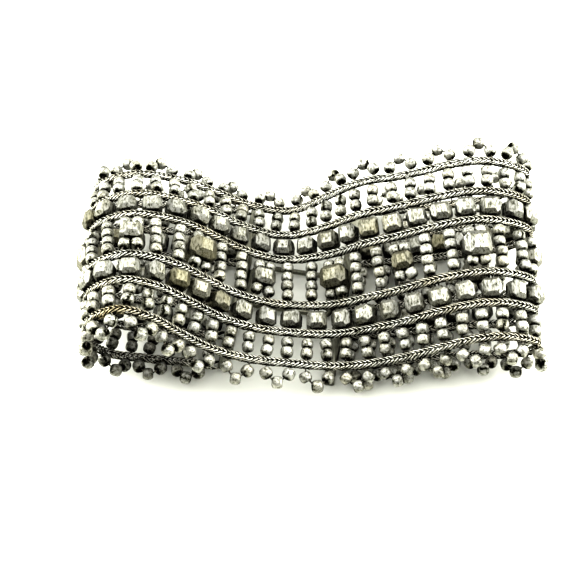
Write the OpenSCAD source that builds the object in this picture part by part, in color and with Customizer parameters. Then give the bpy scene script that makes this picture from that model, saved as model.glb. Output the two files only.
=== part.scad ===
// Beaded cuff bracelet, lying folded on its face. Sizes are millimetres.
// Six foxtail chains run the length of the band. Rows of metal beads sit
// between them and small beads stand in threes, as picots, along both edges.
// X runs along the fold, Y from the front edge to the back edge, Z up.
// A place on the band is a station (distance along the loop, starting in the
// middle of the clasp gap under the fold) and an across (distance from the
// middle line, minus toward the front edge).

/* [Band] */
// Spacing of the chains on either side of a row of nuggets
nugget_gap = 6.2; // [6.1:0.1:6.8]
// Spacing of the chains on either side of a row of bead pairs
pair_gap = 6.65; // [6.5:0.05:7.2]
// Spacing of the two centre chains
centre_pitch = 10.8; // [10.6:0.1:12]
// Width of a foxtail chain across the band
chain_w = 1.7; // [1.4:0.1:1.8]
// Thickness of a foxtail chain
chain_t = 1.5; // [1.2:0.1:1.8]
// Space between the two end bars, bridged by the clasp
clasp_gap = 23; // [19:0.5:27]

/* [Beads] */
// Diameter of a small bead
bead_d = 2.4; // [2.2:0.05:2.4]
// Spacing of small beads along their thread
bead_step = 2.12; // [2.1:0.02:2.22]
// Hole in a small bead
bead_hole = 0.6; // [0.4:0.05:0.65]
// Width of a nugget in the two nugget rows
nugget_w = 4.05; // [3.6:0.05:4.2]
// Length of a nugget along its hole
nugget_l = 3.8; // [3.4:0.1:3.9]
// Width of a smaller centre nugget
medium_w = 4.3; // [4:0.1:4.5]
// Width of a larger centre nugget
large_w = 5.6; // [5:0.1:5.8]
// Hole in a nugget
nugget_hole = 1.7; // [1:0.1:2]
// Length of a centre nugget along its hole, as a share of its width
centre_length = 0.87; // [0.8:0.01:0.95]
// Uneven cutting of the nuggets, as a share of their size
nugget_vary = 0.07; // [0:0.01:0.08]

/* [Counts] */
// Nuggets in the back row
nuggets_back = 36; // [30:1:36]
// Nuggets in the front row
nuggets_front = 35; // [30:1:36]
// Two-bead columns in each outer row
pairs_per_row = 46; // [40:1:48]
// Nuggets down the middle, smaller and large in turn
centre_nuggets = 11; // [9:2:11]
// Picots along the back edge
picots_at_back = 22; // [20:1:24]
// Picots along the front edge
picots_at_front = 23; // [20:1:24]

/* [Ends] */
// Width of an end bar along the band
bar_w = 2.2; // [1.8:0.1:3]
// Height of an end bar
bar_h = 2.6; // [2.4:0.1:2.8]
// Wire of the clasp loop
clasp_wire = 1.1; // [0.8:0.1:1.4]
// Width of the clasp loop across the band
clasp_loop = 9; // [8:0.5:14]

/* [Hidden] */
// Bends of the front edge, followed round the loop from the clasp gap.
// x, y and z are where its outer chain lies. Crown is how far the middle of
// the band stands out beyond a straight line from edge to edge there.
front_bends = [
    // x, y, z, crown
    [-7, -17, 2.2, 0],
    [5, -16.8, 2.2, 0],
    [17, -15.8, 2.2, 0],
    [28.5, -14.2, 2.2, 0],
    [38, -13.6, 2.5, 0],
    [42.5, -14.5, 6.2, 0],
    [42.1, -15.6, 11, 0],
    [37.2, -16.1, 13.8, 0.2],
    [30, -16.2, 13.6, 1],
    [22, -17.2, 11, 1.8],
    [14, -18, 7.6, 0.8],
    [5, -18.3, 5.9, -0.5],
    [-4, -18.2, 7.2, 0.2],
    [-12, -17.7, 8.1, 1.2],
    [-19.2, -16.9, 10.8, 2.2],
    [-25, -16.2, 16, 2.6],
    [-29.4, -16.1, 21.2, 2],
    [-34.8, -16.1, 24.4, 1.2],
    [-40.2, -16.1, 21.4, 0.8],
    [-42.6, -15.8, 15, 0.3],
    [-42.1, -14.9, 8, 0],
    [-38.3, -14.2, 3.3, 0],
    [-31.5, -14.4, 2.2, 0],
    [-24, -15.4, 2.2, 0],
    [-16, -16.4, 2.2, 0]
];
// Bends of the back edge in the same order
back_bends = [
    // x, y, z
    [-1, 19.2, 2.2],
    [9, 19.5, 2.2],
    [19.5, 20.4, 2.2],
    [29.5, 21.6, 2.3],
    [37.6, 22, 3.6],
    [42.6, 21.4, 8],
    [43.4, 20.5, 13.8],
    [39.5, 19.9, 18.2],
    [33, 19.8, 20],
    [26, 18.9, 19.1],
    [18, 17.8, 17.5],
    [10.2, 17.2, 16.8],
    [4, 17.8, 11.4],
    [-1.2, 18, 6.4],
    [-6.5, 18.1, 4.6],
    [-14, 18.8, 6.6],
    [-21, 19.6, 10.4],
    [-27.5, 19.9, 13.7],
    [-35, 19.4, 16.1],
    [-41.4, 19.2, 13.7],
    [-43.9, 19.8, 8.8],
    [-40.9, 20.8, 3.8],
    [-32, 21.2, 2.2],
    [-22, 20.4, 2.2],
    [-11, 19.5, 2.2]
];
// Puts the middle of the box round the finished fold over the origin
centring = [0.57, -1.81, 0];

half_centre = centre_pitch / 2;
inner_w = half_centre + nugget_gap;
edge_w = inner_w + pair_gap;
nugget_row_w = half_centre + nugget_gap / 2;
pair_row_w = inner_w + pair_gap / 2;
stations = 220;
steps = 8;
// How far a picot's beads stand out from its chain and sideways
picot_base_out = 2.4;
picot_base_side = 2.1;
picot_top_out = 4.2;
// How far the beads at a centre nugget's ends stand from its middle sideways
end_bead_side = 1.08;
// How far the row nuggets of the upper layer hang below its chains
nugget_hang = 0.8;
// How far the picots of the upper layer sag, and those under it rise
picot_droop = 8;
picot_lift = 22;
silver = [0.66, 0.65, 0.6];
dark_silver = [0.5, 0.49, 0.44];

// A smooth curve through a closed table of bends, in the columns given
function bend(t, i, f) = let(
    n = len(t), a = t[(i + n - 1) % n], b = t[i], c = t[(i + 1) % n], d = t[(i + 2) % n])
    (2 * b + (c - a) * f + (2 * a - 5 * b + 4 * c - d) * f * f
    + (3 * b - a - 3 * c + d) * f * f * f) / 2;
function curve(t) = [for (i = [0 : len(t) - 1]) for (j = [0 : steps - 1]) bend(t, i, j / steps), t[0]];
function xyz(v) = [v.x, v.y, v.z];
function running(c) = [for (i = 0, a = 0; i < len(c);
    a = a + (i + 1 < len(c) ? norm(xyz(c[i + 1]) - xyz(c[i])) : 0), i = i + 1) a];
function unit(v) = v / norm(v);
function blend(a, b, f) = a * (1 - f) + b * f;

front_curve = curve(front_bends);
back_curve = curve(back_bends);
front_run = running(front_curve);
back_run = running(back_curve);
loop_l = (front_run[len(front_run) - 1] + back_run[len(back_run) - 1]) / 2;
function columns(c, r) = [for (k = [0 : len(c[0]) - 1])
    [for (i = [0 : len(c) - 1]) [r[i] / r[len(r) - 1], c[i][k]]]];
front_cols = columns(front_curve, front_run);
back_cols = columns(back_curve, back_run);
function read_cols(cols, u) = [for (c = cols) lookup(u, c)];

// Per station: the middle, the way across, the crown, then the way outward
edge_pairs = [for (i = [0 : stations])
    [read_cols(front_cols, i / stations), read_cols(back_cols, i / stations)]];
mids = [for (p = edge_pairs) (xyz(p[0]) + p[1]) / 2 + centring];
acrosses = [for (p = edge_pairs) unit(p[1] - xyz(p[0]))];
outs = [for (i = [0 : stations]) let(
    after = mids[(i + 1) % stations], before = mids[(i + stations - 1) % stations])
    unit(cross(acrosses[i], after - before))];
function at_station(i, w) = mids[i] + acrosses[i] * w
    + outs[i] * edge_pairs[i][0][3] * max(0, 1 - pow(w / edge_w, 2));
function wrap(s) = s - floor(s / loop_l) * loop_l;

// The point of the band's middle surface at a station and an across
function place(s, w) = let(k = wrap(s) / loop_l * stations, i = min(floor(k), stations - 1))
    blend(at_station(i, w), at_station(i + 1, w), k - i);
function along(s, w) = unit(place(s + 0.6, w) - place(s - 0.6, w));
function across(s, w) = unit(place(s, w + 0.6) - place(s, w - 0.6));
function inward(s, w) = unit(cross(along(s, w), across(s, w)));
// Square to the chains there, toward the back edge
function square_on(s, w) = unit(cross(inward(s, w), along(s, w)));

// Moves children to a point with the way across as their Y and inward as Z
module set_at(p, y, z_near) {
    x = unit(cross(y, z_near));
    z = cross(x, y);
    multmatrix([
        [x.x, y.x, z.x, p.x],
        [x.y, y.y, z.y, p.y],
        [x.z, y.z, z.z, p.z],
        [0, 0, 0, 1]
    ]) children();
}

// End bars: square to the band's middle line, across the clasp gap
mid_gap = place(0, 0);
gap_y = across(0, 0);
gap_x = unit(cross(gap_y, [0, 0, 1]));
bar_x = clasp_gap / 2 - bar_w / 2;
function reach_along(s, w) = (place(s, w) - mid_gap) * gap_x;
// Station at which a line of the band comes to a distance from mid gap
function station_at(w, d, n = 4, s = 0) = n == 0 ? s : station_at(w, d, n - 1, s + d - reach_along(s, w));
row_start = clasp_gap / 2 + 0.1;

// Stations at even distances along one line of the band, as shares of it
function even(w, d0, d1) = let(
    s0 = station_at(w, d0), s1 = loop_l + station_at(w, -d1), n = 160,
    ss = [for (i = [0 : n]) s0 + (s1 - s0) * i / n],
    run = running([for (s = ss) place(s, w)]))
    [for (i = [0 : n]) [run[i] / run[n], ss[i]]];

// Height of the lowest corner of a nugget's section when it is turned
function low_reach(w, cut, turn) = max([for (x = [-1, 1]) for (z = [-1, 1]) for (k = [0, 1])
    let(a = x * (w / 2 - (k == 0 ? cut : 0)), b = z * (w / 2 - (k == 1 ? cut : 0)))
    a * sin(turn) + b * cos(turn)]);

module cut_block(a, b, cut, h) {
    p = a / 2;
    q = b / 2;
    linear_extrude(h, center = true)
        polygon([
            [p, q - cut], [p - cut, q], [cut - p, q], [-p, q - cut],
            [-p, cut - q], [cut - p, -q], [p - cut, -q], [p, cut - q]
        ]);
}

// Faceted nugget with its hole along Y
module nugget(w, l, hole, side_cut, end_cut) {
    difference() {
        intersection() {
            rotate([90, 0, 0]) cut_block(w, w, side_cut, l);
            cut_block(w, l, end_cut, w);
            rotate([0, 90, 0]) cut_block(w, l, end_cut, w);
        }
        rotate([90, 0, 0]) cylinder(d = hole, h = l + 1, center = true, $fn = 24);
    }
}

// A nugget on the band. Where the band lies flat it rests on the table, and
// where the band is above that it hangs a little below the chains.
module placed_nugget(s, w, size, length, hole, turn, hang = 0) {
    p = place(s, w);
    y = square_on(s, w);
    z = inward(s, w);
    low = low_reach(size, size * 0.27, turn) * z.z
        + abs(y.z) * length / 2 + norm([z.x, z.y]) * size * 0.3;
    height = z.z > 0.97 ? low : max(low, p.z - hang * max(0, min(1, -3 * z.z - 2)));
    set_at([p.x, p.y, height], y, z) {
        rotate([0, turn, 0]) nugget(size, length, hole, size * 0.27, size * 0.17);
        children();
    }
}

module nugget_row(w, count, seed) {
    line = even(w, row_start + 0.4, row_start + 0.4);
    sizes = rands(-1, 1, count, seed);
    turns = rands(-20, 20, count, seed + 1);
    for (i = [0 : count - 1]) {
        s = lookup((i + 0.5) / count, line);
        placed_nugget(s, w, nugget_w * (1 + nugget_vary * sizes[i]), nugget_l, nugget_hole, turns[i],
            nugget_hang);
    }
}

// Small beads threaded tight in a column along Y, drilled through, with the
// rolled beads' flat ends
module column(count) {
    span = bead_step * (count - 1);
    difference() {
        intersection() {
            union() {
                for (i = [0 : count - 1])
                    translate([0, i * bead_step - span / 2, 0]) sphere(d = bead_d, $fn = 24);
            }
            cube([bead_d + 1, bead_step * count, bead_d + 1], center = true);
        }
        rotate([90, 0, 0]) cylinder(d = bead_hole, h = span + 4, center = true, $fn = 16);
    }
}

// A column between two points of the band that lean apart along it
module leaning_column(s, w, lean, count) {
    half = bead_step * count / 2;
    a = place(s - lean, w - half);
    b = place(s + lean, w + half);
    set_at((a + b) / 2, unit(b - a), inward(s, w)) column(count);
}

module pair_row(w, seed) {
    line = even(w, row_start + 0.3, row_start + 0.3);
    leans = rands(0.05, 0.25, pairs_per_row, seed);
    for (i = [0 : pairs_per_row - 1]) {
        s = lookup((i + 0.5) / pairs_per_row, line);
        leaning_column(s, w, leans[i] * (i % 2 == 0 ? 1 : -1), 2);
    }
}

centre_items = centre_nuggets * 3 + 3;
function is_nugget(i) = i % 3 == 2 && i < centre_items - 1;
centre_line = even(0, row_start - 0.7, row_start + 1.9);
centre_sizes = rands(-1, 1, centre_nuggets, 31);
centre_turns = rands(-18, 18, centre_nuggets, 32);
function centre_station(i) = lookup((i + 0.5) / centre_items, centre_line);

// Two small beads side by side that spread the threads at one end of a nugget
module end_beads(y) {
    for (m = [-1, 1])
        translate([m * end_bead_side, y, 0])
            difference() {
                sphere(d = bead_d, $fn = 24);
                rotate([90, 0, 0]) cylinder(d = bead_hole, h = 3, center = true, $fn = 16);
            }
}

module centre_nugget(k) {
    base = k % 2 == 1 ? large_w : medium_w;
    size = base * (1 + nugget_vary * 0.5 * centre_sizes[k]);
    length = size * centre_length;
    reach = min(length / 2 + 0.85, half_centre - 2.5);
    placed_nugget(centre_station(3 * k + 2), 0, size, length, nugget_hole, centre_turns[k]) {
        end_beads(reach);
        end_beads(-reach);
    }
}

module centre_bead_columns() {
    leans = rands(0.1, 0.32, centre_items, 41);
    color(silver)
        for (i = [0 : centre_items - 1])
            if (!is_nugget(i))
                leaning_column(centre_station(i), 0, leans[i], 4);
}

// Thread between two points, with a round end, to hold a picot together
module strand(a, b) {
    d = b - a;
    translate(a) rotate([0, 0, atan2(d.y, d.x)]) rotate([0, 90, 0])
        cylinder(d = 0.5, h = norm(d), $fn = 16);
}

// Three small beads on a loop of thread. X runs along the edge, Y outward.
module picot() {
    near = chain_w / 2 + 0.35;
    foot = [picot_base_side - 0.2, near, 0];
    base = [picot_base_side, picot_base_out, 0];
    top = [0, picot_top_out, 0];
    for (m = [0, 1])
        mirror([m, 0, 0]) {
            translate(base) sphere(d = bead_d, $fn = 24);
            strand(foot, base);
            strand(base, top);
        }
    translate(top) sphere(d = bead_d, $fn = 24);
}

module picot_row(side, seed) {
    line = even(side * edge_w, row_start + 1.6, row_start + 1.6);
    count = side > 0 ? picots_at_back : picots_at_front;
    tips = rands(-6, 6, count, seed);
    for (i = [0 : count - 1]) {
        s = lookup((i + 0.5) / count, line);
        p = place(s, side * edge_w);
        z = inward(s, side * edge_w);
        rise = z.z > 0 ? picot_lift * min(1, abs(p.x) / 34) : -picot_droop;
        set_at(p, square_on(s, side * edge_w) * side, z)
            rotate([tips[i] + rise * z.z, 0, 0]) picot();
    }
}

// A foxtail chain as a plain tube of eight sides
module chain(w) {
    rings = 60;
    line = even(w, clasp_gap / 2 + 0.3, clasp_gap / 2 + 0.3);
    shape = [for (k = [0 : 7]) [cos(45 * k + 22.5), sin(45 * k + 22.5)] / cos(22.5)];
    points = [for (i = [0 : rings]) let(
        s = lookup(i / rings, line), p = place(s, w), y = square_on(s, w), z = inward(s, w))
        for (q = shape) p + y * q.x * chain_w / 2 + z * q.y * chain_t / 2];
    color(silver) polyhedron(
        points = points,
        faces = concat(
            [[for (k = [0 : 7]) k]],
            [for (i = [0 : rings - 1]) for (k = [0 : 7]) let(
                a = i * 8 + k, b = i * 8 + (k + 1) % 8)
                each [[a, a + 8, b], [b, a + 8, b + 8]]],
            [[for (k = [0 : 7]) rings * 8 + 7 - k]]));
}

// Bar that closes one end of the band, with an eye for the clasp loop
module end_bar(side) {
    eye_d = clasp_wire + 1.3;
    eye_x = -bar_w / 2 - eye_d / 2 + 0.2;
    length = edge_w * 2 + chain_w + 0.2;
    lift = bar_h / 2 - mid_gap.z;
    p = mid_gap + gap_x * side * bar_x + [0, 0, lift];
    color(dark_silver)
        set_at(p, gap_y * side, [0, 0, 1])
            difference() {
                union() {
                    rotate([90, 0, 0]) linear_extrude(length, center = true) bar_outline();
                    translate([eye_x, 0, eye_d / 2 - bar_h / 2]) rotate([90, 0, 0])
                        cylinder(d = eye_d, h = clasp_loop - 3, center = true, $fn = 32);
                    translate([eye_x / 2, 0, eye_d / 2 - bar_h / 2])
                        cube([-eye_x, clasp_loop - 3, eye_d * 0.5], center = true);
                }
                translate([eye_x, 0, eye_d / 2 - bar_h / 2]) rotate([90, 0, 0])
                    cylinder(d = clasp_wire + 0.4, h = clasp_loop, center = true, $fn = 32);
            }
}

module bar_outline() {
    r = 0.7;
    square([bar_w, bar_h - 2 * r], center = true);
    square([bar_w - 2 * r, bar_h], center = true);
    for (x = [-1, 1])
        for (y = [-1, 1])
            translate([x * (bar_w / 2 - r), y * (bar_h / 2 - r)]) circle(r = r, $fn = 24);
}

// Plain wire loop that joins the two end bars through their eyes
module clasp() {
    eye_d = clasp_wire + 1.3;
    half_l = bar_x - bar_w / 2 - eye_d / 2 + 0.2;
    half_w = clasp_loop / 2;
    r = 1.2;
    p = mid_gap + [0, 0, eye_d / 2 - mid_gap.z];
    color(silver)
        set_at(p, gap_y, [0, 0, 1]) {
            for (m = [-1, 1]) {
                translate([m * half_l, 0, 0]) rotate([90, 0, 0])
                    cylinder(d = clasp_wire, h = clasp_loop - 2 * r, center = true, $fn = 24);
                translate([0, m * half_w, 0]) rotate([0, 90, 0])
                    cylinder(d = clasp_wire, h = 2 * (half_l - r), center = true, $fn = 24);
                for (q = [0, 1])
                    translate([m * (half_l - r), (q * 2 - 1) * (half_w - r), 0])
                        rotate([0, 0, m > 0 ? (q == 1 ? 0 : -90) : (q == 1 ? 90 : 180)])
                            rotate_extrude(angle = 90, $fn = 48)
                                translate([r, 0]) circle(d = clasp_wire, $fn = 24);
            }
        }
}

module edge_chain_back() { chain(edge_w); }
module inner_chain_back() { chain(inner_w); }
module centre_chain_back() { chain(half_centre); }
module centre_chain_front() { chain(-half_centre); }
module inner_chain_front() { chain(-inner_w); }
module edge_chain_front() { chain(-edge_w); }
module nugget_row_back() { color(silver) nugget_row(nugget_row_w, nuggets_back, 14); }
module nugget_row_front() { color(silver) nugget_row(-nugget_row_w, nuggets_front, 21); }
module bead_pairs_back() { color(silver) pair_row(pair_row_w, 51); }
module bead_pairs_front() { color(silver) pair_row(-pair_row_w, 61); }
module picots_back() { color(silver) picot_row(1, 71); }
module picots_front() { color(silver) picot_row(-1, 81); }
module end_bar_left() { end_bar(-1); }
module end_bar_right() { end_bar(1); }
module centre_nugget_1() { color(silver) centre_nugget(0); }
module centre_nugget_2() { color(dark_silver) centre_nugget(1); }
module centre_nugget_3() { color(silver) centre_nugget(2); }
module centre_nugget_4() { color(dark_silver) centre_nugget(3); }
module centre_nugget_5() { color(silver) centre_nugget(4); }
module centre_nugget_6() { color(dark_silver) centre_nugget(5); }
module centre_nugget_7() { color(silver) centre_nugget(6); }
module centre_nugget_8() { color(dark_silver) centre_nugget(7); }
module centre_nugget_9() { color(silver) centre_nugget(8); }
module centre_nugget_10() { color(dark_silver) centre_nugget(9); }
module centre_nugget_11() { color(silver) centre_nugget(10); }

edge_chain_back();
inner_chain_back();
centre_chain_back();
centre_chain_front();
inner_chain_front();
edge_chain_front();
nugget_row_back();
nugget_row_front();
bead_pairs_back();
bead_pairs_front();
picots_back();
picots_front();
centre_bead_columns();
centre_nugget_1();
centre_nugget_2();
centre_nugget_3();
centre_nugget_4();
centre_nugget_5();
centre_nugget_6();
centre_nugget_7();
centre_nugget_8();
centre_nugget_9();
centre_nugget_10();
centre_nugget_11();
end_bar_left();
end_bar_right();
clasp();
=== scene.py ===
"""Beaded cuff bracelet in antiqued silver tone, lying folded on its face.

Lengths in this file are millimetres until they reach a mesh, and angles are
radians unless a name says degrees. A place on the band is a station, the
distance along the loop from the middle of the clasp gap, and an across, the
distance from the middle line, minus toward the front edge. The band's bends,
the counts and the seeds are those of the part's own source, so every bead
sits where its solid does.
"""

import math

import bpy
import numpy as np
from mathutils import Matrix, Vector


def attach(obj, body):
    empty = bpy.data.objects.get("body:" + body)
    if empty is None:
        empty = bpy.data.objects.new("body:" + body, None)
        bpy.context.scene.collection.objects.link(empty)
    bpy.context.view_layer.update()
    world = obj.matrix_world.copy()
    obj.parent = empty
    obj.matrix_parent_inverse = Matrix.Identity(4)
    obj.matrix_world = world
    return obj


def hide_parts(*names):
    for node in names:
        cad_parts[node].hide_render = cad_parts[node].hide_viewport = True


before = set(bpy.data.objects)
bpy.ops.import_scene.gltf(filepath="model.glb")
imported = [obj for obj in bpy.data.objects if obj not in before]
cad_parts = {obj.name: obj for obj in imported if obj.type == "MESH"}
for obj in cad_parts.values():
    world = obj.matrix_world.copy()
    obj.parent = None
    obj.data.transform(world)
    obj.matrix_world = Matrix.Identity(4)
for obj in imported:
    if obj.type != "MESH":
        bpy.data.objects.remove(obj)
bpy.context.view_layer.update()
MM = 0.001
scene = bpy.context.scene

# Camera

photo_px = 580
focal_px = 1200
sensor_w = 36
camera_back = 240
tilt = math.radians(60)
looks_along = Vector((0, math.cos(tilt), -math.sin(tilt)))
looks_at = Vector((-3.83, -2.31, 4.25)) * MM
camera_data = bpy.data.cameras.new("photo_camera")
camera_data.sensor_width = sensor_w
camera_data.lens = focal_px * sensor_w / photo_px
camera_data.clip_start = 0.01
camera = bpy.data.objects.new("photo_camera", camera_data)
camera.location = looks_at - looks_along * camera_back * MM
camera.rotation_euler = looks_along.to_track_quat("-Z", "Y").to_euler()
scene.collection.objects.link(camera)
scene.camera = camera

# The band

# A chain's width and thickness, and the gap that the clasp closes
chain_w, chain_t, clasp_gap = 1.7, 1.5, 23.0
# A small bead's width, and the step from one to the next on a thread
bead_d, bead_step = 2.4, 2.12
# Width and length of a row's nuggets, widths of the middle row's, and their hole
nugget_w, nugget_l, medium_w, large_w, nugget_hole = 4.05, 3.8, 4.3, 5.6, 1.7
# Length of a middle nugget over its width, and how far sizes vary
centre_length, nugget_vary = 0.87, 0.07
# Long and end bevels of a nugget in the source, over its width
side_share, end_share = 0.27, 0.17
# How far the two beads at a middle nugget's end stand aside
end_bead_side = 1.08
nuggets_back, nuggets_front, pairs_per_row, centre_nuggets = 36, 35, 46, 11
picots_at_back, picots_at_front = 22, 23
# Where a picot's beads stand: the lower two out and aside, and the top one out
picot_base_out, picot_base_side, picot_top_out = 2.4, 2.1, 4.2
# Degrees that the upper layer's picots sag, and those under it rise
picot_droop, picot_lift = 8.0, 22.0
# Acrosses of the centre, inner and edge chains and of the rows between them
half_centre = 5.4
inner_w = half_centre + 6.2
edge_w = inner_w + 6.65
nugget_row_w = half_centre + 3.1
pair_row_w = inner_w + 3.325
# Stations round the band, and points on the curve from one bend to the next
stations, steps = 220, 8
# How far from mid gap the rows begin
row_start = clasp_gap / 2 + 0.1
# Brings the middle of the whole box over the origin
centring = np.array([0.57, -1.81, 0.0])
# Half the span over which a way along or across the band is taken
probe = 0.6
# Places at which a line of the band is measured
samples = 161

# x, y, z of the front edge's outer chain, and how far the middle crowns out
front_bends = np.array([
    [-7, -17, 2.2, 0], [5, -16.8, 2.2, 0], [17, -15.8, 2.2, 0], [28.5, -14.2, 2.2, 0],
    [38, -13.6, 2.5, 0], [42.5, -14.5, 6.2, 0], [42.1, -15.6, 11, 0], [37.2, -16.1, 13.8, 0.2],
    [30, -16.2, 13.6, 1], [22, -17.2, 11, 1.8], [14, -18, 7.6, 0.8], [5, -18.3, 5.9, -0.5],
    [-4, -18.2, 7.2, 0.2], [-12, -17.7, 8.1, 1.2], [-19.2, -16.9, 10.8, 2.2], [-25, -16.2, 16, 2.6],
    [-29.4, -16.1, 21.2, 2], [-34.8, -16.1, 24.4, 1.2], [-40.2, -16.1, 21.4, 0.8], [-42.6, -15.8, 15, 0.3],
    [-42.1, -14.9, 8, 0], [-38.3, -14.2, 3.3, 0], [-31.5, -14.4, 2.2, 0], [-24, -15.4, 2.2, 0],
    [-16, -16.4, 2.2, 0]])
# x, y, z of the back edge's outer chain
back_bends = np.array([
    [-1, 19.2, 2.2], [9, 19.5, 2.2], [19.5, 20.4, 2.2], [29.5, 21.6, 2.3], [37.6, 22, 3.6],
    [42.6, 21.4, 8], [43.4, 20.5, 13.8], [39.5, 19.9, 18.2], [33, 19.8, 20], [26, 18.9, 19.1],
    [18, 17.8, 17.5], [10.2, 17.2, 16.8], [4, 17.8, 11.4], [-1.2, 18, 6.4], [-6.5, 18.1, 4.6],
    [-14, 18.8, 6.6], [-21, 19.6, 10.4], [-27.5, 19.9, 13.7], [-35, 19.4, 16.1], [-41.4, 19.2, 13.7],
    [-43.9, 19.8, 8.8], [-40.9, 20.8, 3.8], [-32, 21.2, 2.2], [-22, 20.4, 2.2], [-11, 19.5, 2.2]])


def unit(v):
    """Each vector over its own length."""
    return v / np.linalg.norm(v, axis=-1, keepdims=True)


def running(p):
    """Distance along a line of points, from its first one."""
    return np.concatenate([[0.0], np.cumsum(np.linalg.norm(np.diff(p, axis=0), axis=1))])


def smooth_curve(t):
    """Closed Catmull-Rom curve through the rows of a table: on each span it is
    half of 2b + (c - a)f + (2a - 5b + 4c - d)f2 + (3b - a - 3c + d)f3."""
    f = (np.arange(steps) / steps)[None, :, None]
    a, b, c, d = (np.roll(t, k, axis=0)[:, None] for k in (1, 0, -1, -2))
    out = (2 * b + (c - a) * f + (2 * a - 5 * b + 4 * c - d) * f**2 + (3 * b - a - 3 * c + d) * f**3) / 2
    return np.vstack([out.reshape(-1, t.shape[1]), t[:1]])


def at_shares(curve):
    """The curve's columns at even shares of its length, one per station."""
    run = running(curve[:, :3])
    share = np.arange(stations + 1) / stations * run[-1]
    return np.stack([np.interp(share, run, c) for c in curve.T], axis=1), run[-1]


front_line, front_length = at_shares(smooth_curve(front_bends))
back_line, back_length = at_shares(smooth_curve(back_bends))
loop_l = (front_length + back_length) / 2
mids = (front_line[:, :3] + back_line) / 2 + centring
acrosses = unit(back_line - front_line[:, :3])
ring = np.arange(stations + 1)
outs = unit(np.cross(acrosses, mids[(ring + 1) % stations] - mids[(ring - 1) % stations]))
crowns = front_line[:, 3]


def place(s, w):
    """Point of the band's middle surface at a station and an across: the
    middle plus w along the way across, plus the crown outward, which falls
    off with the square of w and is nothing past the edge chains. Between two
    stations it is a straight mix of both."""
    s, w = np.broadcast_arrays(np.asarray(s, float), np.asarray(w, float))
    k = np.mod(s, loop_l) / loop_l * stations
    i = np.minimum(k.astype(int), stations - 1)
    f = (k - i)[..., None]
    fall = np.maximum(0, 1 - (w / edge_w) ** 2)[..., None]

    def at(j):
        """The point at a whole station."""
        return mids[j] + acrosses[j] * w[..., None] + outs[j] * crowns[j][..., None] * fall
    return at(i) * (1 - f) + at(i + 1) * f


def along(s, w):
    """Way along the chains there, toward later stations."""
    return unit(place(np.add(s, probe), w) - place(np.subtract(s, probe), w))


def inward(s, w):
    """Square to the band there, toward the inside of the loop."""
    across = unit(place(s, np.add(w, probe)) - place(s, np.subtract(w, probe)))
    return unit(np.cross(along(s, w), across))


def square_on(s, w):
    """Square to the chains there, toward the back edge."""
    return unit(np.cross(inward(s, w), along(s, w)))


mid_gap = place(0, 0)
gap_x = unit(np.cross(unit(place(0, probe) - place(0, -probe)), [0, 0, 1]))


def station_at(w, d):
    """Station at which a line of the band is a distance d from mid gap, found
    by adding what is still missing four times."""
    s = 0.0
    for _ in range(4):
        s = s + d - float((place(s, w) - mid_gap) @ gap_x)
    return s


def even(w, d, share, d_end=None):
    """Stations at shares of one line of the band, at even distances on it. The
    line starts d after mid gap and ends d before it, or d_end."""
    last = loop_l + station_at(w, -(d if d_end is None else d_end))
    ss = np.linspace(station_at(w, d), last, samples)
    run = running(place(ss, w))
    return np.interp(share, run / run[-1], ss)


def draws(low, high, count, seed):
    """The source's seeded numbers: every second one of the same generator."""
    raw = np.random.RandomState(seed).randint(0, 2**32, 2 * count, dtype=np.uint64)[1::2]
    return low + (high - low) * raw / 2**32


def middles(count):
    """Middles of so many even parts of a line, as shares of it."""
    return (np.arange(count) + 0.5) / count


# Meshes


def grid_faces(copies, rows, cols, close_rows):
    """Four-cornered faces of many grids of rows by cols points, each closed
    round its columns and, where asked, round its rows as well."""
    i, j = np.meshgrid(np.arange(rows if close_rows else rows - 1), np.arange(cols), indexing="ij")
    i2, j2 = (i + 1) % rows, (j + 1) % cols
    one = np.stack([i * cols + j, i * cols + j2, i2 * cols + j2, i2 * cols + j], axis=-1).reshape(-1, 4)
    return (one[None] + np.arange(copies)[:, None, None] * rows * cols).reshape(-1, 4)


def make_piece(name, points, faces, stands_for, slot_name, material, **marks):
    """A smooth mesh from whole arrays, with one number per point or per face
    for each mark, riding on the bracelet and standing for the named solids."""
    mesh = bpy.data.meshes.new(name)
    mesh.from_pydata(points.reshape(-1, 3) * MM, [], faces if isinstance(faces, list) else faces.tolist())
    mesh.polygons.foreach_set("use_smooth", np.ones(len(mesh.polygons), bool))
    for mark, values in marks.items():
        domain = "POINT" if np.size(values) == len(mesh.vertices) else "FACE"
        attribute = mesh.attributes.new(mark, "FLOAT", domain)
        attribute.data.foreach_set("value", np.ravel(values).astype(np.float32))
    mesh.materials.append(material)
    mesh.update()
    piece = bpy.data.objects.new(name, mesh)
    scene.collection.objects.link(piece)
    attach(piece, "root")
    if stands_for:
        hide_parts(*stands_for)
    return piece


def stood(points, centre, x, y, z):
    """Carries each copy's own points to its centre, its x, y and z turned to
    the three given ways. Points are (copies or 1, points, 3)."""
    turn = np.stack([x, y, z], axis=-1)
    copies = np.broadcast_to(points, (len(centre),) + points.shape[-2:])
    return np.einsum("nij,nkj->nki", turn, copies) + centre[:, None]


# Materials

# How much darker metal is under the fold at the front left: painted shade there, as well as oxide that
# nothing rubs off
fold_shade_dark = 0.42
# Tarnish comes in patches a bead or two across
patch_mm = 4.0
# Shares of open sky at which metal keeps all its oxide and painted shade, and none
shut_sky, open_sky = 0.44, 0.93
# How strongly pits hold oxide against rubbing
pit_hold = 3.0
rough_oxide = 0.75
ao_samples = 8


def fold_shade_and_oxide(p):
    """How far a place lies under the fold, 0 to 1, where the band turns under at the front left corner. It is
    out of reach of rubbing and in the fold's shade, so it is darkened with painted shade as well as kept
    oxide. It is the product of three straight ramps, which rise over the 12 mm left of x -20, the 6 mm below
    z 13 and the 4 mm in front of y -8."""
    inside = np.clip((-20 - p[..., 0]) / 12, 0, 1) * np.clip((13 - p[..., 2]) / 6, 0, 1)
    return inside * np.clip((-8 - p[..., 1]) / 4, 0, 1)


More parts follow.
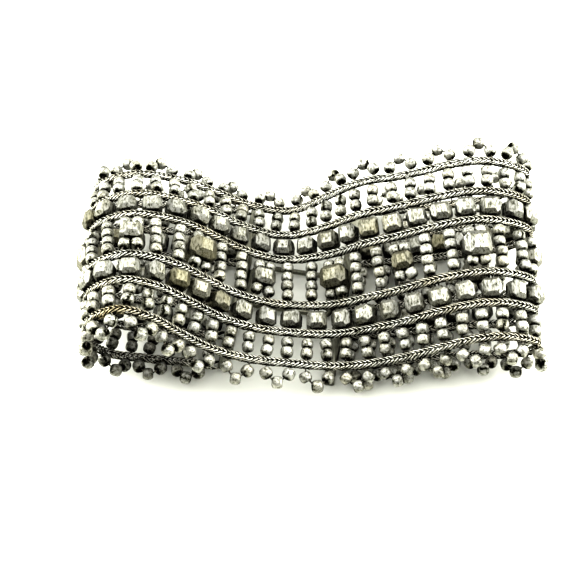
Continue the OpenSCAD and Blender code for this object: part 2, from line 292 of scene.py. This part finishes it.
def from_hex(text):
    """sRGB hex to linear red, green, blue and full alpha: a low value over
    12.92, any other plus 0.055, over 1.055, to the power 2.4."""
    c = np.array([int(text[k:k + 2], 16) for k in (1, 3, 5)]) / 255
    c = np.where(c <= 0.04045, c / 12.92, ((c + 0.055) / 1.055) ** 2.4)
    return tuple(float(v) for v in c) + (1.0,)


def add(tree, kind, inputs=(), **settings):
    """Adds one node, sets its properties, and sets or links its sockets."""
    node = tree.nodes.new(kind)
    for key, value in settings.items():
        setattr(node, key, value)
    for key, value in dict(inputs).items():
        socket = node.inputs[key]
        if isinstance(value, bpy.types.NodeSocket):
            tree.links.new(value, socket)
        else:
            socket.default_value = value
    return node


def empty_material(name):
    """A material with no nodes yet, and its node tree."""
    material = bpy.data.materials.new(name)
    material.use_nodes = True
    material.node_tree.nodes.clear()
    return material, material.node_tree


def antiqued(name, bright, worn, oxide, tarnish, roughness, pit_mm, pit_depth, occlusion_reach_mm, drawn=1.0):
    """Antiqued silver-tone metal: bright where handling has rubbed it, a
    duller olive grey beside that, and near-black oxide left in recesses.
    Reads three marks on the mesh: rub (0 in a recess to 1 on the crest), tone (this piece's own lightness,
    which under the fold also holds painted shade and on nuggets painted facet shading) and gold (how much
    plating has gone yellow). Pits are pit_mm apart, and longer across the band where drawn is under 1.
    Ambient occlusion darkens the metal wherever other metal stands within the reach that the call gives in
    millimetres: oxide in a piece's own hollows, and painted shade between parts."""
    material, tree = empty_material(name)
    place_in = add(tree, "ShaderNodeTexCoord").outputs["Object"]
    rub = add(tree, "ShaderNodeAttribute", attribute_name="rub").outputs["Fac"]
    tone = add(tree, "ShaderNodeAttribute", attribute_name="tone").outputs["Fac"]
    gold = add(tree, "ShaderNodeAttribute", attribute_name="gold").outputs["Fac"]
    patches = add(tree, "ShaderNodeTexNoise",
                  {"Vector": place_in, "Scale": 1000 / patch_mm, "Detail": 4.0}).outputs["Fac"]
    scuffed = add(tree, "ShaderNodeMapping", {"Vector": place_in, "Scale": (1, drawn, 1)}).outputs["Vector"]
    pits = add(tree, "ShaderNodeTexNoise", {"Vector": scuffed, "Scale": 1000 / pit_mm, "Detail": 5.0,
                                            "Roughness": 0.7}).outputs["Fac"]
    # Ambient occlusion: oxide in a piece's own hollows, and painted shade between parts where other metal
    # stands near
    ambient_occlusion = add(tree, "ShaderNodeAmbientOcclusion", {"Distance": occlusion_reach_mm * MM}, samples=ao_samples)
    in_open = add(tree, "ShaderNodeMapRange", {"Value": ambient_occlusion.outputs["AO"], "From Min": shut_sky,
                                               "From Max": open_sky}).outputs["Result"]
    # Rub times the share of open sky: rubbing, and painted shade between parts
    rubbed = add(tree, "ShaderNodeMath", {0: rub, 1: in_open}, operation="MULTIPLY").outputs[0]
    spotted = add(tree, "ShaderNodeMath", {0: pits, 1: 0.5}, operation="SUBTRACT").outputs[0]
    level = add(tree, "ShaderNodeMath", {0: spotted, 1: pit_hold, 2: rubbed},
                operation="MULTIPLY_ADD").outputs[0]
    wear_and_shade = add(tree, "ShaderNodeValToRGB", {"Fac": level})
    wear_and_shade.color_ramp.elements[0].position = 0.2
    wear_and_shade.color_ramp.elements[0].color = from_hex(oxide)
    wear_and_shade.color_ramp.elements[1].position = 0.85
    wear_and_shade.color_ramp.elements[1].color = from_hex(bright)
    middle = wear_and_shade.color_ramp.elements.new(0.45)
    middle.color = from_hex(worn)
    shift = add(tree, "ShaderNodeMath", {0: patches, 1: 0.5}, operation="SUBTRACT").outputs[0]
    lightness = add(tree, "ShaderNodeMath", {0: shift, 1: 0.5, 2: tone}, operation="MULTIPLY_ADD").outputs[0]
    toned = add(tree, "ShaderNodeMix", {6: wear_and_shade.outputs["Color"], 7: lightness, "Factor": 1.0},
                data_type="RGBA", blend_type="MULTIPLY").outputs[2]
    yellow = add(tree, "ShaderNodeMath", {0: shift, 1: 1.0, 2: gold},
                 operation="MULTIPLY_ADD", use_clamp=True).outputs[0]
    colour = add(tree, "ShaderNodeMix", {"Factor": yellow, 6: toned, 7: from_hex(tarnish)},
                 data_type="RGBA", blend_type="MULTIPLY").outputs[2]
    rough = add(tree, "ShaderNodeMapRange", {"Value": level, "From Min": 0.0, "From Max": 1.0,
                                             "To Min": rough_oxide, "To Max": roughness}).outputs["Result"]
    bump = add(tree, "ShaderNodeBump", {"Height": pits, "Distance": pit_depth * MM, "Strength": 1.0})
    shader = add(tree, "ShaderNodeBsdfPrincipled", {"Base Color": colour, "Metallic": 1.0,
                                                    "Roughness": rough, "Normal": bump.outputs["Normal"]})
    add(tree, "ShaderNodeOutputMaterial", {"Surface": shader.outputs["BSDF"]})
    return material


def brushed(name, bright, worn, roughness, scratch_mm, scratch_depth, occlusion_reach_mm, drawn):
    """Drawn silver-tone bar: scratches scratch_mm apart and longer along it by one over drawn, duller where
    they bunch, and darkened with painted shade by ambient occlusion where other metal stands near, within the
    reach that the call gives in millimetres."""
    material, tree = empty_material(name)
    place_in = add(tree, "ShaderNodeTexCoord").outputs["Object"]
    stretched = add(tree, "ShaderNodeMapping", {"Vector": place_in, "Scale": (1, drawn, 1)}).outputs["Vector"]
    scratches = add(tree, "ShaderNodeTexNoise",
                    {"Vector": stretched, "Scale": 1000 / scratch_mm, "Detail": 4.0}).outputs["Fac"]
    # Ambient occlusion paints shade on the bar where other metal stands near
    ambient_occlusion = add(tree, "ShaderNodeAmbientOcclusion", {"Distance": occlusion_reach_mm * MM}, samples=ao_samples)
    level = add(tree, "ShaderNodeMath", {0: scratches, 1: ambient_occlusion.outputs["AO"]},
                operation="MULTIPLY").outputs[0]
    wear_and_shade = add(tree, "ShaderNodeValToRGB", {"Fac": level})
    wear_and_shade.color_ramp.elements[0].position = 0.15
    wear_and_shade.color_ramp.elements[0].color = from_hex(worn)
    wear_and_shade.color_ramp.elements[1].position = 0.6
    wear_and_shade.color_ramp.elements[1].color = from_hex(bright)
    bump = add(tree, "ShaderNodeBump", {"Height": scratches, "Distance": scratch_depth * MM, "Strength": 1.0})
    shader = add(tree, "ShaderNodeBsdfPrincipled", {"Base Color": wear_and_shade.outputs["Color"], "Metallic": 1.0,
                                                    "Roughness": roughness, "Normal": bump.outputs["Normal"]})
    add(tree, "ShaderNodeOutputMaterial", {"Surface": shader.outputs["BSDF"]})
    return material


# Drawn silver-tone wire woven as foxtail: bright crests, and black between links from oxide and painted shade
chain_metal = antiqued("antiqued_silver_wire_woven", "#CACAC1", "#5E5E4E", "#0C0C03", "#C9B892",
                       roughness=0.38, pit_mm=0.35, pit_depth=0.03, occlusion_reach_mm=1.1)
# Cast, faceted and tumbled nuggets: scuffed flats and softened edges
nugget_metal = antiqued("antiqued_silver_cast_nugget", "#9A9A92", "#6B6B5E", "#0C0C03", "#CCC49C",
                        roughness=0.40, pit_mm=0.4, pit_depth=0.10, occlusion_reach_mm=1.3, drawn=0.35)
# Turned small beads, worn bright on the crown and black round the hole
bead_metal = antiqued("antiqued_silver_turned_bead", "#A6A69E", "#6C6C5F", "#0C0C03", "#C9BE96",
                      roughness=0.42, pit_mm=0.55, pit_depth=0.14, occlusion_reach_mm=0.6)
# Plain bars and wire at the closure, brushed and dull, their colours kept dark as painted shade for where
# they lie under the band
fitting_metal_painted_shade = brushed("antiqued_silver_drawn_bar_painted_shade", "#77776A", "#33332A",
                        roughness=0.45, scratch_mm=0.25, scratch_depth=0.02, occlusion_reach_mm=1.5, drawn=0.12)
# Beading thread, twisted grey fibre
thread_fibre = antiqued("grey_beading_thread_twisted", "#B9B6AA", "#7B786C", "#2A2823", "#B8A06C",
                        roughness=0.6, pit_mm=0.25, pit_depth=0.03, occlusion_reach_mm=1.0)

# Foxtail chains

# Points round a loop and round its wire, half the wire, and the step between loops
link_turns, link_sides, link_wire, link_pitch = 20, 5, 0.165, 0.88
# How far a loop reaches along the chain either way, and how its wave is eased
link_reach, link_ease = 1.0, 0.98
# How a loop narrows toward the groove and toward its other corners
groove_pinch, corner_pinch = 0.45, 0.06
# How far a loop leans by chance, as a slope
link_sway = 0.07
# How far short of an end bar's middle the chains stop
chain_end = 0.3


def foxtail(name, w, seed, browned=None):
    """Loops bent like saddles and stacked along the chain. Round a loop at
    angle t the wire's centre is v times link_reach along the chain, where v is
    a triangle wave of cos 2t with its corners eased, and R cos t across by
    R sin t through, with R pinched toward the corners: by groove_pinch of v
    cubed where the strands dive into the groove, and by corner_pinch of v
    squared at the others. So each face shows two rows of straight strands that
    slant in to a groove. Brown tarnish stands about a share of the chain's
    length, where one is given."""
    d = clasp_gap / 2 + chain_end
    ends = place(np.linspace(station_at(w, d), loop_l + station_at(w, -d), 400), w)
    count = int(running(ends)[-1] / link_pitch)
    s = even(w, d, middles(count))
    t = np.arange(link_turns) / link_turns * 2 * math.pi
    v = np.arcsin(link_ease * np.cos(2 * t)) / math.asin(link_ease)
    pinch = 1 - groove_pinch * np.abs(v) ** 3 * (v < 0) - corner_pinch * v**2 * (v > 0)
    core = np.stack([link_reach * v, (chain_w / 2 - link_wire * 0.45) * np.cos(t) * pinch,
                     (chain_t / 2 - link_wire * 0.8) * np.sin(t) * pinch], axis=1)
    ahead = unit(np.roll(core, -1, axis=0) - np.roll(core, 1, axis=0))
    outward = core * [0, 1, 1]
    outward = unit(outward - ahead * np.sum(outward * ahead, axis=1, keepdims=True))
    side = np.cross(ahead, outward)
    # The wire is a little flatter than round
    p = np.arange(link_sides) / link_sides * 2 * math.pi
    loop = (core[:, None] + outward[:, None] * (np.cos(p) * link_wire * 0.9)[None, :, None]
            + side[:, None] * (np.sin(p) * link_wire * 1.1)[None, :, None]).reshape(1, -1, 3)
    rng = np.random.RandomState(seed)
    x, y, z = along(s, w), square_on(s, w), inward(s, w)
    centre = place(s, w)
    # No two loops lie quite alike
    x = unit(x + link_sway * rng.normal(size=(count, 1)) * y + link_sway * rng.normal(size=(count, 1)) * z)
    y = unit(y - x * np.sum(x * y, axis=1, keepdims=True))
    z = np.cross(x, y)
    points = stood(loop, centre, x, y, z)
    # Rubbed on the wire's outer side, and less where the strands dive
    rub = (0.20 + 0.82 * np.cos(p)[None, :] - 0.3 * (np.abs(v) ** 5)[:, None]).reshape(-1)
    rub = np.broadcast_to(rub, (count, rub.size))
    # Each loop's own tone, darker under the fold at the front left: painted shade there, with oxide
    tone = (0.85 + 0.3 * rng.rand(count, 1)) * (1 - fold_shade_dark * fold_shade_and_oxide(centre)[:, None]) + 0 * rub
    # Yellowing comes and goes along the chain as two sines of its length
    u = np.arange(count) / count * 9 + rng.rand() * 7
    gold = (0.12 + 0.25 * np.maximum(0, np.sin(u) * np.sin(2.3 * u + 1)))[:, None] + 0 * rub
    if browned:
        gold = gold + 0.6 * np.exp(-((np.arange(count) / count - browned) / 0.022) ** 2)[:, None]
    make_piece(name + "_foxtail", points, grid_faces(count, link_turns, link_sides, True),
               [name], "chain_silver", chain_metal, rub=rub, tone=tone, gold=gold)


foxtail("edge_chain_back", edge_w, 1)
foxtail("inner_chain_back", inner_w, 2)
foxtail("centre_chain_back", half_centre, 3)
foxtail("centre_chain_front", -half_centre, 4)
foxtail("inner_chain_front", -inner_w, 5)
foxtail("edge_chain_front", -edge_w, 6, 0.745)

# Small beads

# Points round a bead, the power of its rounded outline, and half its hole
bead_sides, bead_power, bead_bore = 14, 3.2, 0.3
# How far beads lean, as a slope, shift and vary in size by chance
bead_lean, bead_shift, bead_vary = 0.12, 0.07, 0.025
# Half of how far the yellowest bead has gone yellow
bead_gold = 0.1


def barrel():
    """Small bead as rings along its hole: a superellipse of bead_power from
    rim to rim, then back through the hole. Returns points, and the rub."""
    half, r = bead_step / 2 + 0.03, bead_d / 2 + 0.02
    a = np.array([-0.94, -0.80, -0.48, 0, 0.48, 0.80, 0.94]) * half
    outer = r * (1 - np.abs(a / half) ** bead_power) ** (1 / bead_power)
    rows = np.concatenate([a, [a[-1] * 0.88, a[0] * 0.88]])
    radius = np.concatenate([outer, [bead_bore, bead_bore]])
    rub = np.array([0.3, 0.6, 0.72, 0.74, 0.72, 0.6, 0.3, -0.4, -0.4])
    q = np.arange(bead_sides) / bead_sides * 2 * math.pi
    ring_x, ring_z = radius[:, None] * np.cos(q), -radius[:, None] * np.sin(q)
    points = np.stack([ring_x, rows[:, None] + 0 * q, ring_z], axis=-1)
    return points.reshape(1, -1, 3), np.repeat(rub, bead_sides)


bead_shape, bead_rub = barrel()
bead_rows = len(bead_rub) // bead_sides


def small_beads(name, centre, axis, stands_for, seed):
    """Barrel beads threaded on axis, each rolled about it by chance, and a
    quarter of them with the seam of the rolled strip showing."""
    rng = np.random.RandomState(seed)
    n = len(centre)
    axis = unit(axis + bead_lean * rng.normal(size=(n, 3)).clip(-1.5, 1.5))
    centre = centre + bead_shift * rng.normal(size=(n, 3)).clip(-1.5, 1.5)
    spare = unit(np.cross(axis, rng.normal(size=(n, 3))))
    size = 1 + bead_vary * rng.normal(size=(n, 1, 1)).clip(-1.5, 1.5) * [1, 0.5, 1]
    points = stood(bead_shape * size, centre, spare, axis, np.cross(spare, axis))
    # Each bead's own tone, darker under the fold at the front left: painted shade there, with oxide
    tone = (0.78 + 0.34 * rng.rand(n, 1)) * (1 - fold_shade_dark * fold_shade_and_oxide(centre)[:, None]) + 0 * bead_rub
    gold = bead_gold * rng.rand(n, 1) ** 2 * 2 + 0 * bead_rub
    # A seam is one line of points from rim to rim that nothing has rubbed
    seam = np.zeros((n, bead_rows, bead_sides))
    seam[rng.rand(n) < 0.25, 1:6, 0] = 1
    rub = bead_rub - 0.55 * seam.reshape(n, -1)
    make_piece(name, points, grid_faces(n, bead_rows, bead_sides, True), stands_for, "bead_silver",
               bead_metal, rub=rub, tone=tone, gold=gold)


def column_ends(s, w, lean, count):
    """Middle of each threaded column and its way, between two places of the
    band that lean apart along it."""
    half = bead_step * count / 2
    a, b = place(s - lean, w - half), place(s + lean, w + half)
    return (a + b) / 2, unit(b - a)


def in_columns(middle, way, count):
    """Middles and ways of the beads of each column, one bead_step apart."""
    steps_out = (np.arange(count) - (count - 1) / 2) * bead_step
    centre = middle[:, None] + way[:, None] * steps_out[None, :, None]
    return centre.reshape(-1, 3), np.repeat(way, count, axis=0)


# How far threads reach from the middle of a pair, a column and a nugget, and
# from a bead at a middle nugget's end
pair_thread, column_thread, nugget_thread, end_thread = 2.9, 4.9, 2.75, 2.1
threads = []


def pairs(name, w, seed):
    """A row of pairs of beads, each leaning the other way from the last."""
    s = even(w, row_start + 0.3, middles(pairs_per_row))
    lean = draws(0.05, 0.25, pairs_per_row, seed) * np.where(np.arange(pairs_per_row) % 2 == 0, 1, -1)
    middle, way = column_ends(s, w, lean, 2)
    threads.append((middle - way * pair_thread, middle + way * pair_thread))
    small_beads(name + "_barrels", *in_columns(middle, way, 2), [name], seed + 1)


pairs("bead_pairs_back", pair_row_w, 51)
pairs("bead_pairs_front", -pair_row_w, 61)

# The middle row: two columns of four beads, then a nugget, all along it, and
# three columns at its far end
centre_items = centre_nuggets * 3 + 3
order = np.arange(centre_items)
holds_nugget = (order % 3 == 2) & (order < centre_items - 1)
centre_s = even(0, row_start - 0.7, middles(centre_items), row_start + 1.9)
centre_lean = draws(0.1, 0.32, centre_items, 41)
middle, way = column_ends(centre_s[~holds_nugget], 0, centre_lean[~holds_nugget], 4)
threads.append((middle - way * column_thread, middle + way * column_thread))
small_beads("centre_bead_columns_barrels", *in_columns(middle, way, 4), ["centre_bead_columns"], 42)

# Distance from the middle of the fold at which picots rise in full
lift_reach = 34
picot_lean = np.radians(62)


def picots(name, side, seed):
    """Three beads on a loop of thread: two stand on the edge chain and one
    closes the loop outside them. Those of the upper layer sag a little, and
    those under it rise."""
    w = side * edge_w
    count = picots_at_back if side > 0 else picots_at_front
    s = even(w, row_start + 1.6, middles(count))
    foot, z = place(s, w), inward(s, w)
    lift = picot_lift * np.minimum(1, np.abs(foot[:, 0]) / lift_reach)
    rise = np.where(z[:, 2] > 0, lift, -picot_droop)
    turn = np.radians(draws(-6, 6, count, seed) + rise * z[:, 2])[:, None]
    y = square_on(s, w) * side
    x = unit(np.cross(y, z))
    y = y * np.cos(turn) + z * np.sin(turn)

    def at(a, b):
        """Places a along the edge and b out from it, seen from each foot."""
        return foot + x * a + y * b
    near = chain_w / 2
    centre = np.concatenate([at(-picot_base_side, picot_base_out), at(picot_base_side, picot_base_out),
                             at(0, picot_top_out)])
    lean_x, lean_y = x * math.cos(picot_lean), y * math.sin(picot_lean)
    axis = np.concatenate([lean_x + lean_y, -lean_x + lean_y, x])
    small_beads(name + "_barrels", centre, axis, [name], seed + 1)
    for m in (-1, 1):
        threads.append((at(m * (picot_base_side + 0.1), near - 0.3), at(m * picot_base_side, picot_base_out)))
        threads.append((at(m * picot_base_side, picot_base_out), at(m * 0.5, picot_top_out)))


picots("picots_back", 1, 71)
picots("picots_front", -1, 81)

# Nuggets

octants = [(x, y, z) for x in (1, -1) for y in (1, -1) for z in (1, -1)]
cut_corners, hole_sides = 32, 16
# How far the middle of a row's nugget hangs below its chains in the upper layer
nugget_hang = 0.8
# Width of the worn edges, and of the flat that stays between a hole and the bevels
worn_edge, hole_rim = 0.13, 0.29
# How far a nugget's corners stray, and the scale that makes up for it
corner_stray, drawn_in = 0.02, 0.985


def nugget_corners(w, length, side_cut, end_cut):
    """The 32 corners where the six flats and twelve bevels of a cut nugget
    meet, hole along y, then 16 points round the hole at each end."""
    p, q = w / 2, length / 2
    one = np.array([[p, q - end_cut, p - side_cut], [p - side_cut, q - end_cut, p],
                    [p - end_cut, q, p - end_cut],
                    [p - side_cut / 2, q - end_cut + side_cut / 2, p - side_cut / 2]])
    corners = (np.array(octants)[:, None] * one[None]).reshape(-1, 3)
    a = (np.arange(hole_sides) + 0.5) / hole_sides * 2 * math.pi + math.pi / 4
    hole = np.stack([np.cos(a), 0 * a, np.sin(a)], axis=1) * nugget_hole / 2
    return np.concatenate([corners, hole + [0, q, 0], hole - [0, q, 0]])


def nugget_faces():
    """Faces over nugget_corners: six flats, the end ones as four panels round the hole, twelve six-sided
    bevels and the wall of the hole. Returns them with how bright each face is made, most on the flats that
    face out of the band and less on bevels, ends and the hole: painted facet shading as well as rubbing."""
    n = {octant: 4 * k for k, octant in enumerate(octants)}
    # Each face's brightness: most on the flats that face out of the band, painted facet shading as well as
    # rubbing
    faces, facet_shade_and_wear = [], []
    for m in (1, -1):
        faces.append([n[m, 1, 1], n[m, 1, -1], n[m, -1, -1], n[m, -1, 1]])
        faces.append([n[1, 1, m] + 1, n[-1, 1, m] + 1, n[-1, -1, m] + 1, n[1, -1, m] + 1])
        facet_shade_and_wear += [0.7, 1.05]
        for k in (1, -1):
            a, b = n[m, 1, k], n[m, -1, k]
            faces.append([a, a + 3, a + 1, b + 1, b + 3, b])
            a, b = n[m, k, 1], n[m, k, -1]
            faces.append([a, a + 3, a + 2, b + 2, b + 3, b])
            a, b = n[1, k, m], n[-1, k, m]
            faces.append([a + 1, a + 3, a + 2, b + 2, b + 3, b + 1])
            facet_shade_and_wear += [0.78, 0.6, 0.82]
        rim = cut_corners if m == 1 else cut_corners + hole_sides
        square = [n[-1, m, 1] + 2, n[-1, m, -1] + 2, n[1, m, -1] + 2, n[1, m, 1] + 2]
        for k in range(4):
            arc = [rim + (hole_sides // 4 * k + j) % hole_sides for j in range(hole_sides // 4 + 1)]
            faces.append([square[k], square[(k + 1) % 4]] + arc[::-1])
        facet_shade_and_wear += [0.6] * 4
    near, far = cut_corners, cut_corners + hole_sides
    for j in range(hole_sides):
        faces.append([near + j, near + (j + 1) % hole_sides, far + (j + 1) % hole_sides, far + j])
    # Each face is turned to look outward, and those of the hole toward its axis
    sample = nugget_corners(nugget_w, nugget_l, nugget_w * side_share, nugget_w * end_share)
    for k, face in enumerate(faces):
        p = sample[face]
        out = p.mean(axis=0) * ([1, 1, 1] if k < len(facet_shade_and_wear) else [-1, 0, -1])
        if np.cross(p[1] - p[0], p[2] - p[1]) @ out < 0:
            face.reverse()
    return faces, np.array(facet_shade_and_wear + [0.4] * hole_sides)


def low_reach(size, turn):
    """Height of a nugget's lowest corner below its middle when it is turned:
    the most of a sin turn + b cos turn over its eight corners (a, b)."""
    p, cut = size / 2, size * side_share
    a = np.array([(x * (p - cut * (1 - k)), z * (p - cut * k))
                  for x in (-1, 1) for z in (-1, 1) for k in (0, 1)])
    return np.max(a[:, :1] * np.sin(turn) + a[:, 1:] * np.cos(turn), axis=0)


def nugget_places(s, w, size, length, turn, hang):
    """Middle and three ways of each nugget, lying on the table where the band
    is flat on it and hanging a little below its chains in the upper layer."""
    p, y, z = place(s, w), square_on(s, w), inward(s, w)
    low = (low_reach(size, turn) * z[:, 2] + np.abs(y[:, 2]) * length / 2
           + np.linalg.norm(z[:, :2], axis=1) * size * 0.3)
    p[:, 2] = np.where(z[:, 2] > 0.97, low, np.maximum(low, p[:, 2] - hang * np.clip(-3 * z[:, 2] - 2, 0, 1)))
    x = unit(np.cross(y, z))
    return p, x, y, np.cross(x, y)


def nuggets(name, s, w, size, length, turn, stands_for, seed, gold, hang=0.0):
    """Cut nuggets with softly worn edges, none quite like the next: each has its own bevels, stray corners
    and skew, and each face its own tone, which also holds painted facet shading. Returns their middles and
    the ways of their holes."""
    rng = np.random.RandomState(seed)
    n = len(s)
    p, x, y, z = nugget_places(s, w, size, length, turn, hang)
    c, t = np.cos(turn)[:, None], np.sin(turn)[:, None]
    x2, z2 = x * c - z * t, z * c + x * t
    side_cut = size * rng.uniform(0.25, 0.31, n)
    # The end flats keep a rim round the hole, wide enough for both worn edges
    end_cut = side_cut / 2 + size * rng.uniform(0.055, 0.085, n)
    end_cut = np.minimum(end_cut, (size - nugget_hole) / 2 - hole_rim)
    shape = np.stack([nugget_corners(*cut) for cut in zip(size, length, side_cut, end_cut)])
    shape[:, :cut_corners] += rng.normal(size=(n, cut_corners, 3)).clip(-2, 2) * corner_stray
    skew = np.eye(3) + rng.uniform(-0.035, 0.035, (n, 3, 3))
    skew[:, 1, 1] = drawn_in
    shape = np.einsum("nij,nkj->nki", skew * drawn_in, shape)
    points = stood(shape, p, x2, y, z2)
    # A corner that would sink into the table stands on it
    points[..., 2] = np.maximum(points[..., 2], 0)
    corners = shape.shape[1]
    one, facet_shade_and_wear = nugget_faces()
    faces = [[v + k * corners for v in f] for k in range(n) for f in one]
    # The hole's rim is rubbed less than the flats
    rub = np.full((n, corners), 0.7)
    rub[:, cut_corners:] = 0.25
    # Each nugget's own tone times each face's brightness, which is painted facet shading as well as rubbing,
    # and a little by chance
    tone = (rng.uniform(0.84, 1.18, (n, 1)) * (1 - 0.3 * gold[:, None])
            * facet_shade_and_wear * rng.uniform(0.82, 1.12, (n, facet_shade_and_wear.size)))
    piece = make_piece(name, points, faces, stands_for, "nugget_silver", nugget_metal,
                       rub=rub, tone=tone, gold=gold[:, None] + 0 * rub)
    worn = piece.modifiers.new("worn_edges", "BEVEL")
    worn.width = worn_edge * MM
    worn.use_clamp_overlap = False
    worn.segments = 3
    worn.limit_method = "ANGLE"
    worn.angle_limit = math.radians(26)
    worn.harden_normals = True
    return p, y


def nugget_row(name, w, count, seed, yellowed):
    """A row of nuggets, turned up to 20 degrees either way, and the two
    threads that lace each. Some nuggets of the lower layer have gone yellow by
    chance, and of the upper layer those in yellowed, by the share given."""
    s = even(w, row_start + 0.4, middles(count))
    size = nugget_w * (1 + nugget_vary * draws(-1, 1, count, seed))
    turn = np.radians(draws(-20, 20, count, seed + 1))
    rng = np.random.RandomState(seed + 5)
    gold = np.where(rng.rand(count) < 0.15, rng.uniform(0.3, 0.8, count), 0.06)
    # These lie in the upper layer
    gold[8:29] = 0.06
    for which, share in yellowed.items():
        gold[which] = share
    length = np.full(count, nugget_l)
    p, y = nuggets(name + "_cut", s, w, size, length, turn, [name], seed + 2, gold, nugget_hang)
    x = along(s, w)
    for m in (-0.35, 0.35):
        threads.append((p + x * m - y * nugget_thread, p + x * m + y * nugget_thread))


nugget_row("nugget_row_back", nugget_row_w, nuggets_back, 14,
           {14: 0.2, 15: 0.5, 17: 0.35, 27: 0.2, 28: 0.6})
nugget_row("nugget_row_front", -nugget_row_w, nuggets_front, 21,
           {12: 0.15, 20: 0.2, 21: 0.55, 22: 0.3, 23: 0.7})

# Nuggets of the middle row, every second one large, and the beads at their ends
nugget_sizes = np.where(np.arange(centre_nuggets) % 2 == 1, large_w, medium_w) * (
    1 + nugget_vary * 0.5 * draws(-1, 1, centre_nuggets, 31))
nugget_turns = np.radians(draws(-18, 18, centre_nuggets, 32))
nugget_s = centre_s[holds_nugget]
solids = ["centre_nugget_%d" % (k + 1) for k in range(centre_nuggets)]
golds = np.array([0.1, 0.3, 0.3, 0.08, 0.55, 0.5, 0.12, 0.65, 0.2, 0.35, 0.1])
middle, way = nuggets("centre_nuggets_cut", nugget_s, 0, nugget_sizes, nugget_sizes * centre_length,
                      nugget_turns, solids, 33, golds)
reach = np.minimum(nugget_sizes * centre_length / 2 + 0.85, half_centre - 2.5)[:, None]
aside = unit(np.cross(way, inward(nugget_s, 0))) * end_bead_side
ends, splay = [], []
for m in (-1, 1):
    for q in (-1, 1):
        ends.append(middle + aside * m + way * q * reach)
        splay.append(unit(way + aside * (0.28 * m * q)))
        threads.append((ends[-1], ends[-1] + splay[-1] * q * end_thread))
small_beads("centre_end_barrels", np.concatenate(ends), np.concatenate(splay), [], 43)

# Thread

thread_r, thread_bow = 0.17, 0.05


def thread_strands(runs):
    """Round strands of thread, six-sided and closed at both ends, from the
    first of each two points to the second, bowed sideways as half a sine."""
    a = np.concatenate([r[0] for r in runs])
    b = np.concatenate([r[1] for r in runs])
    n, rows, sides = len(a), 5, 6
    way = unit(b - a)
    # Any way that no strand runs along gives each a side
    x = unit(np.cross(way, [0.31, 0.52, 0.79]))
    z = np.cross(x, way)
    f = np.linspace(0, 1, rows)[None, :, None, None]
    q = (np.arange(sides) / sides * 2 * math.pi)[None, None, :, None]
    points = (a[:, None, None] * (1 - f) + b[:, None, None] * f
              + z[:, None, None] * thread_bow * np.sin(f * math.pi)
              + thread_r * (x[:, None, None] * np.cos(q) - z[:, None, None] * np.sin(q)))
    first = np.arange(n)[:, None] * rows * sides
    caps = np.concatenate([first + np.arange(sides)[::-1], first + (rows - 1) * sides + np.arange(sides)])
    rub = np.full(points.shape[:3], 0.55)
    make_piece("beading_thread", points, grid_faces(n, rows, sides, False).tolist() + caps.tolist(),
               [], "bead_silver", thread_fibre, rub=rub, tone=rub * 0 + 0.8, gold=rub * 0 + 0.1)


thread_strands(threads)

# Closure

for name in ("end_bar_left", "end_bar_right", "clasp"):
    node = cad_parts[name]
    node.data.materials.clear()
    node.data.materials.append(fitting_metal_painted_shade)

# Floor, light

# The floor's corners, in metres
floor_corners = [(-3, -3, 0), (3, -3, 0), (3, 3, 0), (-3, 3, 0)]
floor_mesh = bpy.data.meshes.new("floor")
floor_mesh.from_pydata(floor_corners, [], [(0, 1, 2, 3)])
floor = bpy.data.objects.new("floor", floor_mesh)
scene.collection.objects.link(floor)
# Matt white paper sweep
paper = bpy.data.materials.new("matt_white_paper")
paper.use_nodes = True
paper.node_tree.nodes["Principled BSDF"].inputs["Base Color"].default_value = from_hex("#E4E5DA")
paper.node_tree.nodes["Principled BSDF"].inputs["Roughness"].default_value = 0.9
floor_mesh.materials.append(paper)

world = bpy.data.worlds.new("studio")
world.use_nodes = True
world.node_tree.nodes["Background"].inputs["Color"].default_value = (1, 1, 1, 1)
world.node_tree.nodes["Background"].inputs["Strength"].default_value = 0.18
scene.world = world
# What the softboxes face
lit_middle = Vector((0, 0, 8)) * MM


def softbox(name, place_mm, size_mm, watts):
    """A rectangular lamp that stands at a place and faces the bracelet."""
    lamp = bpy.data.lights.new(name, "AREA")
    lamp.shape = "RECTANGLE"
    lamp.size, lamp.size_y = size_mm[0] * MM, size_mm[1] * MM
    lamp.energy = watts
    box = bpy.data.objects.new(name, lamp)
    box.location = Vector(place_mm) * MM
    box.rotation_euler = (lit_middle - box.location).to_track_quat("-Z", "Y").to_euler()
    scene.collection.objects.link(box)


softbox("key_softbox", (50, 200, 460), (1500, 1100), 18.4)
softbox("left_softbox", (-420, 110, 150), (260, 200), 3.2)
softbox("right_softbox", (420, 60, 150), (260, 200), 2.8)

scene.view_settings.view_transform = "Standard"
scene.view_settings.look = "High Contrast"
